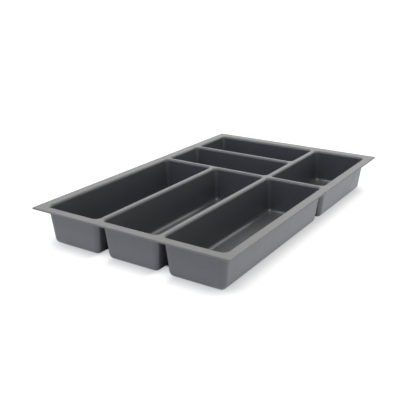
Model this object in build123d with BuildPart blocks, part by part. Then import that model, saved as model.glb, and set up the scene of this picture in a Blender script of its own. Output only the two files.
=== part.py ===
from build123d import *
from math import cos, radians, tan
import os

# Cutlery tray for a drawer, vacuum formed from one plastic sheet.
# X runs across the tray, Y from its front edge to its back edge and Z up.
# The origin is on the surface that the tray stands on, under the middle of the flange.
# A wall plane is a well's inner wall carried up to the level of the deck.

# The sheet, and how far the tray stands up
sheet = 2.0
height = 53.5
draft_angle = 5.6

# Wells, measured between wall planes
well_width = 85.7
long_well_length = 272.0
cross_well_width = 83.4

# Flat crest of a divider, between its two rolled edges
divider_crest = 2.4

# Flange outside the wells, from the outer wall to the trimmed edge
side_flange = 12.5
front_flange = 13.0
back_flange = 16.5

# The flange's corners in plan, and the break along the upper side of its trimmed edge
trim_corner = 1.5
edge_break = 0.6

# Radii of the bends, each on the side where the bend is tighter
deck_bend = 1.6
floor_bend = 6.0

# Radii of a well's upright corners, at the level of the deck and at its floor
mouth_corner = 6.5
floor_corner = 5.5

# The upper surface of the sheet rolls over the deck's edges, a sheet's thickness outside the bend
edge_roll = deck_bend + sheet
roll_reach = edge_roll * tan(radians(90 - draft_angle) / 2)
divider_gap = divider_crest + 2 * roll_reach
wall_step = sheet / cos(radians(draft_angle))

# The deck's own edges end at the seam, and the wells hang below it
seam = height - edge_roll

# Plan of the tray
pitch = well_width + divider_gap
width = 2 * (side_flange + wall_step + well_width + divider_gap) + well_width
rear_length = 2 * cross_well_width + divider_gap
depth = front_flange + back_flange + 2 * wall_step + long_well_length + divider_gap + rear_length

# Wall planes across the tray, from left to right, and along it, from front to back
left_walls = [side_flange + wall_step + pitch * column - width / 2 for column in range(3)]
right_walls = [wall + well_width for wall in left_walls]
long_front = front_flange + wall_step - depth / 2
long_back = long_front + long_well_length
near_front = long_back + divider_gap
near_back = near_front + cross_well_width
far_front = near_back + divider_gap
far_back = far_front + cross_well_width

# Each well's left, right, front and back wall plane
wells = {
    "front_left_well": (left_walls[0], right_walls[0], long_front, long_back),
    "front_middle_well": (left_walls[1], right_walls[1], long_front, long_back),
    "front_right_well": (left_walls[2], right_walls[2], long_front, long_back),
    "near_cross_well": (left_walls[0], right_walls[1], near_front, near_back),
    "far_cross_well": (left_walls[0], right_walls[1], far_front, far_back),
    "rear_right_well": (left_walls[2], right_walls[2], near_front, far_back),
}

# Past this distance from a corner the deck's edges run straight
corner_reach = mouth_corner + edge_roll

# Lines that part the deck into its rim and dividers, clear of every corner
window_left = left_walls[0] + corner_reach
window_right = right_walls[2] - corner_reach
window_front = long_front + corner_reach
window_back = far_back - corner_reach
cross_front = long_back - corner_reach
cross_back = near_front + corner_reach
rear_left = right_walls[1] - corner_reach
rear_right = left_walls[2] + corner_reach

# Each divider's left, right, front and back line on the deck
dividers = {
    "front_left_divider": (
        right_walls[0] - corner_reach,
        left_walls[1] + corner_reach,
        window_front,
        cross_front,
    ),
    "front_right_divider": (rear_left, rear_right, window_front, cross_front),
    "cross_divider": (window_left, window_right, cross_front, cross_back),
    "rear_divider": (rear_left, rear_right, cross_back, window_back),
    "rear_cross_divider": (
        window_left,
        rear_left,
        near_back - corner_reach,
        far_front + corner_reach,
    ),
}


# A well's plan at the level of the deck runs down to a smaller one at its floor, with straight
# drafted walls and tapered corners between them.
# With no skin it is the hollow of the well, and with a skin it is the cup's outer shape.
def cup(walls, skin):
    left, right, front, back = walls
    spread = skin / cos(radians(draft_angle))
    bottom = sheet - skin
    taper = (height - bottom) * tan(radians(draft_angle))
    plans = (bottom, spread - taper, floor_corner), (height, spread, mouth_corner)
    with BuildPart() as block:
        for level, margin, corner in plans:
            with BuildSketch(Plane.XY.offset(level)):
                with Locations(((left + right) / 2, (front + back) / 2)):
                    RectangleRounded(
                        right - left + 2 * margin,
                        back - front + 2 * margin,
                        corner + spread,
                    )
        loft(ruled=True)
        floor_edges = block.faces().sort_by(Axis.Z)[0].edges()
        fillet(floor_edges, floor_bend + skin)
    return block.part


# A block as deep as the deck's edges, over a part of the plan
def deck_block(left, right, front, back):
    with BuildPart() as block:
        with BuildSketch(Plane.XY.offset(seam)):
            with Locations(((left + right) / 2, (front + back) / 2)):
                Rectangle(right - left, back - front)
        extrude(amount=height - seam)
    return block.part


hollows = {name: cup(walls, 0) for name, walls in wells.items()}
cups = {name: cup(walls, sheet) for name, walls in wells.items()}

os.makedirs("parts", exist_ok=True)

# Deck: the flat sheet between the wells, with a bend down into each of them
with BuildPart() as deck:
    with BuildSketch(Plane.XY.offset(height - sheet)):
        RectangleRounded(width, depth, trim_corner)
    extrude(amount=sheet)
    fillet(deck.faces().sort_by(Axis.Z)[-1].edges(), edge_break)
    add(cups.values())
    add(hollows.values(), mode=Mode.SUBTRACT)
    flats = deck.faces().filter_by(Plane.XY).sort_by(Axis.Z)
    fillet(flats[-1].inner_wires().edges(), edge_roll)
    flats = deck.faces().filter_by(Plane.XY).sort_by(Axis.Z)
    fillet(flats[-2].inner_wires().edges(), deck_bend)
    split(bisect_by=Plane.XY.offset(seam), keep=Keep.TOP)

# Wells: the six cups below the deck's edges, each with its own walls and floor
for name in wells:
    with BuildPart() as well:
        add(cups[name])
        add(hollows[name], mode=Mode.SUBTRACT)
        split(bisect_by=Plane.XY.offset(seam), keep=Keep.BOTTOM)
    well.part.label = name
    export_step(well.part, f"parts/{name}.step")

# Dividers: the narrow ridges of the deck between two wells
for name, lines in dividers.items():
    with BuildPart() as divider:
        add(deck.part)
        add(deck_block(*lines), mode=Mode.INTERSECT)
    divider.part.label = name
    export_step(divider.part, f"parts/{name}.step")

# Rim: the flange all round, with the outer edges of the wells and a stub of each divider
with BuildPart() as rim:
    add(deck.part)
    add(deck_block(window_left, window_right, window_front, window_back), mode=Mode.SUBTRACT)
rim.part.label = "rim_flange"
export_step(rim.part, "parts/rim_flange.step")

print("tray", round(width, 2), "by", round(depth, 2), "by", height)
print("divider gap", round(divider_gap, 2))
print("rim volume", round(rim.part.volume), "deck volume", round(deck.part.volume))
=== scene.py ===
# %% [markdown]
# The object is a cutlery tray for a kitchen drawer, drawn by vacuum from one warm sheet of grey
# plastic. A flat flange runs all round, six tapered cups hang from it, and rolled ridges part
# them. The form could be pushed out of a plane here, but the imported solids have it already, with
# every bend at its real radius. So Blender adds what they lack: the skin of the sheet, the light
# and the camera.

import bpy
from math import cos, radians, sin
from mathutils import Matrix, Vector


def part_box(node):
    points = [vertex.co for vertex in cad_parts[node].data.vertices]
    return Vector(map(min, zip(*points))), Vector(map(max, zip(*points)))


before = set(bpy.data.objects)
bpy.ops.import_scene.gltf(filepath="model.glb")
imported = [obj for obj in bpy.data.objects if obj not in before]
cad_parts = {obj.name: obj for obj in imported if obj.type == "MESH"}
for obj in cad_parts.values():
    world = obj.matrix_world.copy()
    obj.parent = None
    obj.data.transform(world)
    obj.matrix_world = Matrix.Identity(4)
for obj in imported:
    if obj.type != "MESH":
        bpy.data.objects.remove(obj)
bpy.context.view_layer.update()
print("zones of the sheet:", ", ".join(sorted(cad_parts)))

# %% [markdown]
# Real lengths are easiest to read in millimetres, while Blender works in metres. Colours are
# easiest to pick as hex values from a screen, but a shader wants linear light. A node is one
# line when its settings and its links are given together.

# %% Helpers for lengths, colours and nodes
MM = 0.001


def linear(hex_colour):
    """A screen colour such as "58585d" as linear red, green, blue and alpha."""
    channels = [int(hex_colour[place : place + 2], 16) / 255 for place in (0, 2, 4)]
    light = [c / 12.92 if c <= 0.04045 else ((c + 0.055) / 1.055) ** 2.4 for c in channels]
    return light + [1.0]


def add_node(tree, kind, links=None, values=None, **settings):
    """Adds a node. A link comes from a socket, or from the first output of a node."""
    node = tree.nodes.new(kind)
    for name, value in settings.items():
        setattr(node, name, value)
    for socket, value in (values or {}).items():
        node.inputs[socket].default_value = value
    for socket, source in (links or {}).items():
        output = source if isinstance(source, bpy.types.NodeSocket) else source.outputs[0]
        tree.links.new(output, node.inputs[socket])
    return node


print("a metre is", round(1 / MM), "mm here")

# %% [markdown]
# The photograph looks down on the near right corner of the tray from a little way off. A camera
# is a place, a direction and a focal length. It could be aimed by hand in the viewport. Here it
# is given the way a photographer would say it, because those numbers can be read again: how far
# round the tray, how high, and how far away from the point looked at.

# %% Camera
LONG_SIDE_PIXELS = 416
focal_pixels = 635.789
camera_round = radians(32.018)
camera_up = radians(20.474)
camera_roll = radians(0.304)
camera_away = 844.657 * MM
looked_at = Vector((45.29, -119.903, 53.5)) * MM

back = Vector(
    (
        sin(camera_round) * cos(camera_up),
        -cos(camera_round) * cos(camera_up),
        sin(camera_up),
    )
)
level_right = back.cross(Vector((0, 0, 1))).normalized() * -1
level_up = back.cross(level_right)
frame_right = level_right * cos(camera_roll) + level_up * sin(camera_roll)
frame_up = level_up * cos(camera_roll) - level_right * sin(camera_roll)

lens = bpy.data.cameras.new("photo_camera")
lens.sensor_width = 36.0
lens.lens = lens.sensor_width * focal_pixels / LONG_SIDE_PIXELS
camera = bpy.data.objects.new("photo_camera", lens)
camera.matrix_world = Matrix.Translation(looked_at + back * camera_away) @ (
    Matrix((frame_right, frame_up, back)).transposed().to_4x4()
)
bpy.context.scene.collection.objects.link(camera)
bpy.context.scene.camera = camera
print("focal length in mm:", round(lens.lens, 2))
print("camera at:", [round(x, 3) for x in camera.location])

# %% [markdown]
# The sheet is high-impact polystyrene, rolled with a fine matt grain before it is formed. The
# eye reads a dull grey that is never quite even: the rubber in the plastic clouds it over a few
# millimetres, and the stretch of the forming over the length of a hand. An image could hold that,
# but the cups would need a flat layout for it. Noise in the space of the tray needs none, and as
# all zones share one origin, it runs over their joints as it does on one sheet.

# %% Clouds and grain of the sheet
# The real grain is about 0.3 mm, finer than a pixel, so it is drawn at 2.6 mm, where it shows
GRAIN = 2.6 * MM
CLOUDS = 9 * MM
STRETCH = 110 * MM

sheet_skin = bpy.data.materials.new("vacuum_formed_polystyrene")
sheet_skin.use_nodes = True
skin = sheet_skin.node_tree
skin.nodes.clear()
place = add_node(skin, "ShaderNodeTexCoord").outputs["Object"]


def pattern(size, detail, unevenness):
    """A noise over the sheet whose spots are about as large as the given length."""
    values = {"Scale": 1 / size, "Detail": detail, "Roughness": unevenness}
    return add_node(skin, "ShaderNodeTexNoise", {"Vector": place}, values)


grain = pattern(GRAIN, 2.0, 0.6)
clouds = pattern(CLOUDS, 3.0, 0.55)
stretch = pattern(STRETCH, 1.0, 0.5)
print("patterns of the sheet in mm:", [round(size / MM, 1) for size in (GRAIN, CLOUDS, STRETCH)])

# %% [markdown]
# Dull greys with a breath of blue read as one colour from a step away. A single colour would look
# like paint, so three patterns work on it. The clouds blend the first two greys, the grain lifts
# its high spots towards a paler one, and the slow stretch pattern pulls the whole back by a shade.

# %% Colour of the sheet
# Places of the colours on a Mix node, whose sockets share their names
COLOUR_A, COLOUR_B, COLOUR_OUT = 6, 7, 2


def blend(tree, amount, first, second):
    """Blends two colours by an amount from 0 to 1. Each is a hex value or a socket."""
    mix = add_node(tree, "ShaderNodeMix", {"Factor": amount}, data_type="RGBA")
    for socket, colour in ((COLOUR_A, first), (COLOUR_B, second)):
        if isinstance(colour, str):
            mix.inputs[socket].default_value = linear(colour)
        else:
            tree.links.new(colour, mix.inputs[socket])
    return mix.outputs[COLOUR_OUT]


cloudy_grey = blend(skin, clouds, "46464c", "4e4e53")
grainy_grey = blend(skin, grain, cloudy_grey, "6a6a6f")
sheet_grey = blend(skin, stretch, grainy_grey, "58585d")
print("last grey in linear light:", [round(c, 3) for c in linear("58585d")])

# %% [markdown]
# A saw or a punch trims the flange after forming. The cut opens the plastic, so a band along the
# edge is a little paler and duller than the rolled face. It could have a material of its own on
# picked faces, but then it would end at a hard line. So its place comes from the flange's box: a
# point is on the cut when it lies almost as far out as the flange reaches.

# %% Trimmed edge of the flange
CUT_INNER_EDGE = 0.7 * MM
CUT_OUTER_EDGE = 0.2 * MM


def calculate(tree, operation, *terms, kind="ShaderNodeMath"):
    """A math node whose terms are numbers, points, nodes or sockets."""
    values = {at: term for at, term in enumerate(terms) if isinstance(term, (float, tuple))}
    links = {at: term for at, term in enumerate(terms) if at not in values}
    return add_node(tree, kind, links, values, operation=operation)


def ramp(tree, value, start, end, first=0.0, last=1.0, curve="LINEAR"):
    """Goes from the first level to the last while the value goes from start to end."""
    values = {"From Min": start, "From Max": end, "To Min": first, "To Max": last}
    return add_node(
        tree, "ShaderNodeMapRange", {"Value": value}, values, interpolation_type=curve
    )


flange_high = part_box("rim_flange")[1]
flange_edges = (flange_high[0], flange_high[1], 0.0)
apart = calculate(skin, "ABSOLUTE", place, kind="ShaderNodeVectorMath")
past_edges = calculate(skin, "SUBTRACT", apart, flange_edges, kind="ShaderNodeVectorMath")
sides = add_node(skin, "ShaderNodeSeparateXYZ", {0: past_edges})
outermost = calculate(skin, "MAXIMUM", sides.outputs["X"], sides.outputs["Y"])
trimmed = ramp(skin, outermost, -CUT_INNER_EDGE, -CUT_OUTER_EDGE)
skin_colour = blend(skin, trimmed, sheet_grey, "6c6c6e")
print("flange reaches in mm:", [round(1000 * side, 1) for side in flange_high])

# %% [markdown]
# Stretching the warm sheet irons its grain out, so the cups are glossier towards their floors
# than the flange is. Handling leaves faint dull patches too. One even roughness would look new
# and moulded. So a ramp over the height of the tray gives the stretch, a noise of finger width
# the patches, and the grain is also a shallow relief that breaks the highlights up.

# %% Gloss of the sheet
FLOOR_ROUGHNESS = 0.285
FLANGE_ROUGHNESS = 0.33
SMUDGE_ROUGHNESS = 0.06
SMUDGE_START, SMUDGE_FULL = 0.45, 0.8
CUT_ROUGHNESS = 0.2
FINGER = 24 * MM
GRAIN_DEPTH = 0.1 * MM
GRAIN_STRENGTH = 0.5
POLYSTYRENE_IOR = 1.59

height = add_node(skin, "ShaderNodeSeparateXYZ", {0: place}).outputs["Z"]
ironed = ramp(skin, height, 0.0, flange_high[2], FLOOR_ROUGHNESS, FLANGE_ROUGHNESS)
handling = pattern(FINGER, 2.0, 0.5)
smudges = ramp(skin, handling, SMUDGE_START, SMUDGE_FULL, 0.0, SMUDGE_ROUGHNESS)
dulled = calculate(skin, "ADD", ironed, smudges)
roughness = calculate(skin, "MULTIPLY_ADD", trimmed, CUT_ROUGHNESS, dulled)
relief = add_node(
    skin,
    "ShaderNodeBump",
    {"Height": grain},
    {"Strength": GRAIN_STRENGTH, "Distance": GRAIN_DEPTH},
)
shader = add_node(
    skin,
    "ShaderNodeBsdfPrincipled",
    {"Base Color": skin_colour, "Roughness": roughness, "Normal": relief},
    {"IOR": POLYSTYRENE_IOR},
)
add_node(skin, "ShaderNodeOutputMaterial", {"Surface": shader})

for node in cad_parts.values():
    node.data.materials.clear()
    node.data.materials.append(sheet_skin)
print("skin given to", len(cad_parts), "zones")

# %% [markdown]
# The tray stands on a shooting table, a sheet of milky acrylic with lamps under it. A slab with a
# thickness could be made, but only its upper side is seen, so one plane is enough. It is so wide
# that its edge is lost in the white behind it.

# %% Shooting table
TABLE_REACH = 12.0
# A hair lower than the cups, so that the two surfaces never share a plane
TABLE_DROP = 0.2 * MM

corners = [(-1, -1), (1, -1), (1, 1), (-1, 1)]
table_mesh = bpy.data.meshes.new("shooting_table")
table_mesh.from_pydata(
    [(TABLE_REACH * x, TABLE_REACH * y, 0) for x, y in corners], [], [(0, 1, 2, 3)]
)
table = bpy.data.objects.new("shooting_table", table_mesh)
table.location.z = -TABLE_DROP
bpy.context.scene.collection.objects.link(table)
print("table reaches", TABLE_REACH, "m each way")

# %% [markdown]
# The acrylic scatters a little of the room's light, and it glows by itself. The glow that the
# camera sees is darkened towards the cups into a painted contact shadow, and the glow that lights
# the tray fades out towards them. Real lamps under a real sheet would give a glow, but slowly and
# with noise.
# So the glow is written out as a function of the distance from the tray, which is worked out
# first.

# %% Distance over the table
# The distance counts from a box well inside the tray, so that the glow has rounded corners
BOX_INSET_ACROSS = 44 * MM
BOX_INSET_ALONG = 44.5 * MM

milky_acrylic = bpy.data.materials.new("milky_acrylic")
milky_acrylic.use_nodes = True
acrylic = milky_acrylic.node_tree
acrylic.nodes.clear()
table_place = add_node(acrylic, "ShaderNodeTexCoord").outputs["Object"]

glow_box = (flange_high[0] - BOX_INSET_ACROSS, flange_high[1] - BOX_INSET_ALONG, 0.0)
table_apart = calculate(acrylic, "ABSOLUTE", table_place, kind="ShaderNodeVectorMath")
past_box = calculate(acrylic, "SUBTRACT", table_apart, glow_box, kind="ShaderNodeVectorMath")
outside = calculate(acrylic, "MAXIMUM", past_box, (0.0, 0.0, 0.0), kind="ShaderNodeVectorMath")
away = calculate(acrylic, "LENGTH", outside, kind="ShaderNodeVectorMath").outputs["Value"]
print("distance counts from", [round(1000 * side, 1) for side in glow_box[:2]], "mm outwards")

# %% [markdown]
# The painted contact shadow isn't one even band. Where a slot parts two cups nothing stands on the
# table, so the shadow is painted lighter there. A lamp in each slot would give that light, but it
# would light the dark walls of the slot as well. So the distance that the camera is shown grows
# before each slot, which paints light on the table there.

# %% Painted light before the slots between the cups
SLOT_CORE = 3 * MM
SLOT_FADE = 20 * MM
# In front of a slot the table is painted as bright as it is this much further out elsewhere
SLOT_LIFT = 17 * MM

slot_low, slot_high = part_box("front_right_divider")
slot_middle = (slot_low[0] + slot_high[0]) / 2
across = add_node(acrylic, "ShaderNodeSeparateXYZ", {0: table_apart}).outputs["X"]
beside_slot = calculate(acrylic, "SUBTRACT", across, slot_middle)
off_slot = calculate(acrylic, "ABSOLUTE", beside_slot)
# Painted light: the distance grows in front of each slot, which lifts the painted shadow there
painted_slot_light = ramp(acrylic, off_slot, SLOT_CORE, SLOT_FADE, SLOT_LIFT, 0.0, "SMOOTHSTEP")
painted_shadow_distance = calculate(acrylic, "ADD", away, painted_slot_light)
print("slots lie", round(1000 * slot_middle, 1), "mm from the middle")

# %% [markdown]
# The glow that the camera sees falls off towards the cups and stops under them: a painted soft
# contact shadow. The camera and the tray could see the same glow, but then light from the table's
# dimmest part would fill the slots. So the tray is lit by the open part alone, and the slots stay
# dark.

# %% Glow of the table, with its painted contact shadow
SHADOW_LEVEL = 0.52
SHADOW_START, SHADOW_END = 18 * MM, 55 * MM
UNDER_TRAY_FADE = 6 * MM
LIGHT_LEVEL = 1.05
LIGHT_START, LIGHT_FULL = 16 * MM, 36 * MM
# Places of the numbers on a Mix node, whose sockets share their names
NUMBER_A, NUMBER_B = 2, 3

# Painted shadow: the camera sees the table darkened towards the cups and dark under them
painted_contact_shadow = ramp(
    acrylic, painted_shadow_distance, SHADOW_START, SHADOW_END, SHADOW_LEVEL, 1.0, "SMOOTHSTEP"
)
painted_shade_under_tray = ramp(acrylic, away, 0.0, UNDER_TRAY_FADE)
glow_with_painted_shadow = calculate(acrylic, "MULTIPLY", painted_contact_shadow, painted_shade_under_tray)
open_glow = ramp(acrylic, away, LIGHT_START, LIGHT_FULL, 0.0, LIGHT_LEVEL)
by_camera = add_node(acrylic, "ShaderNodeLightPath").outputs["Is Camera Ray"]
strength = add_node(
    acrylic,
    "ShaderNodeMix",
    {"Factor": by_camera, NUMBER_A: open_glow, NUMBER_B: glow_with_painted_shadow},
)
glow_colour = blend(acrylic, by_camera, "f8f9ff", "ffffff")
glow = add_node(acrylic, "ShaderNodeEmission", {"Color": glow_colour, "Strength": strength})
scatter = add_node(acrylic, "ShaderNodeBsdfDiffuse", values={"Color": linear("7c7c7c")})
surface = add_node(acrylic, "ShaderNodeAddShader", {0: glow, 1: scatter})
add_node(acrylic, "ShaderNodeOutputMaterial", {"Surface": surface})
table_mesh.materials.append(milky_acrylic)
print("table glows at", SHADOW_LEVEL, "by the tray and at 1 in the open")

# %% [markdown]
# White screens stand round the table. Planes could stand for them, but they would have to be very
# large, while the world is a screen on every side at once. The camera and the gloss of the plastic
# see it as white, and it lights the tray evenly and weakly.

# %% Screens round the table
WHITE = [1, 1, 1, 1]
FILL_LEVEL = 0.03
SEEN_LEVEL = 1.0

screens = bpy.data.worlds.new("white_screens")
screens.use_nodes = True
bpy.context.scene.world = screens
sky = screens.node_tree
sky.nodes.clear()
rays = add_node(sky, "ShaderNodeLightPath").outputs
seen = calculate(sky, "MAXIMUM", rays["Is Camera Ray"], rays["Is Glossy Ray"])
seen_or_through = calculate(sky, "MAXIMUM", seen, rays["Is Transmission Ray"])
fill, white = [
    add_node(sky, "ShaderNodeBackground", values={"Color": WHITE, "Strength": level})
    for level in (FILL_LEVEL, SEEN_LEVEL)
]
both = add_node(sky, "ShaderNodeMixShader", {0: seen_or_through, 1: fill, 2: white})
add_node(sky, "ShaderNodeOutputWorld", {"Surface": both})
print("screens light the tray at", FILL_LEVEL, "and are seen at", SEEN_LEVEL)


# %% [markdown]
# Seven large softboxes hang round the tray. The ones behind it draw the pale lines along the
# rolled edges, the one overhead fills the wells, and the cooler ones in front give the walls
# that face the camera their touch of blue. Area lamps would light the near end more than the far
# one. A sun with a wide disc is a lamp so far off that both ends get the same.

# %% Lamps
def softbox(name, towards, up, wide, level, hex_colour):
    """A large lamp far off: its side of the tray, its height and its width in degrees."""
    lamp = bpy.data.lights.new(name, "SUN")
    lamp.angle = radians(wide)
    lamp.energy = level
    lamp.color = linear(hex_colour)[:3]
    stand = bpy.data.objects.new(name, lamp)
    aim = Vector(
        (
            sin(radians(towards)) * cos(radians(up)),
            cos(radians(towards)) * cos(radians(up)),
            sin(radians(up)),
        )
    )
    stand.rotation_euler = aim.to_track_quat("Z", "Y").to_euler()
    bpy.context.scene.collection.objects.link(stand)
    return stand


# Sides are counted clockwise from the back of the tray, as seen from above
lamps = [
    softbox("overhead_softbox", 0, 90, 36, 0.60, "fdffe6"),
    softbox("back_left_softbox", 325, 37, 45, 0.44, "fffbed"),
    softbox("back_softbox", 2, 36, 44, 0.45, "fbfff7"),
    softbox("right_strip", 90, 13, 25, 0.44, "f9fff5"),
    softbox("front_right_softbox", 135, 62, 37, 0.50, "f2fbff"),
    softbox("front_left_softbox", 210, 55, 14, 0.50, "ecedff"),
    softbox("left_softbox", 235, 40, 14, 0.33, "ccd4ff"),
]
print("lamps:", ", ".join(lamp.name for lamp in lamps))

# %% [markdown]
# The Standard view shows colours as they are written.

# %% View
bpy.context.scene.view_settings.view_transform = "Standard"
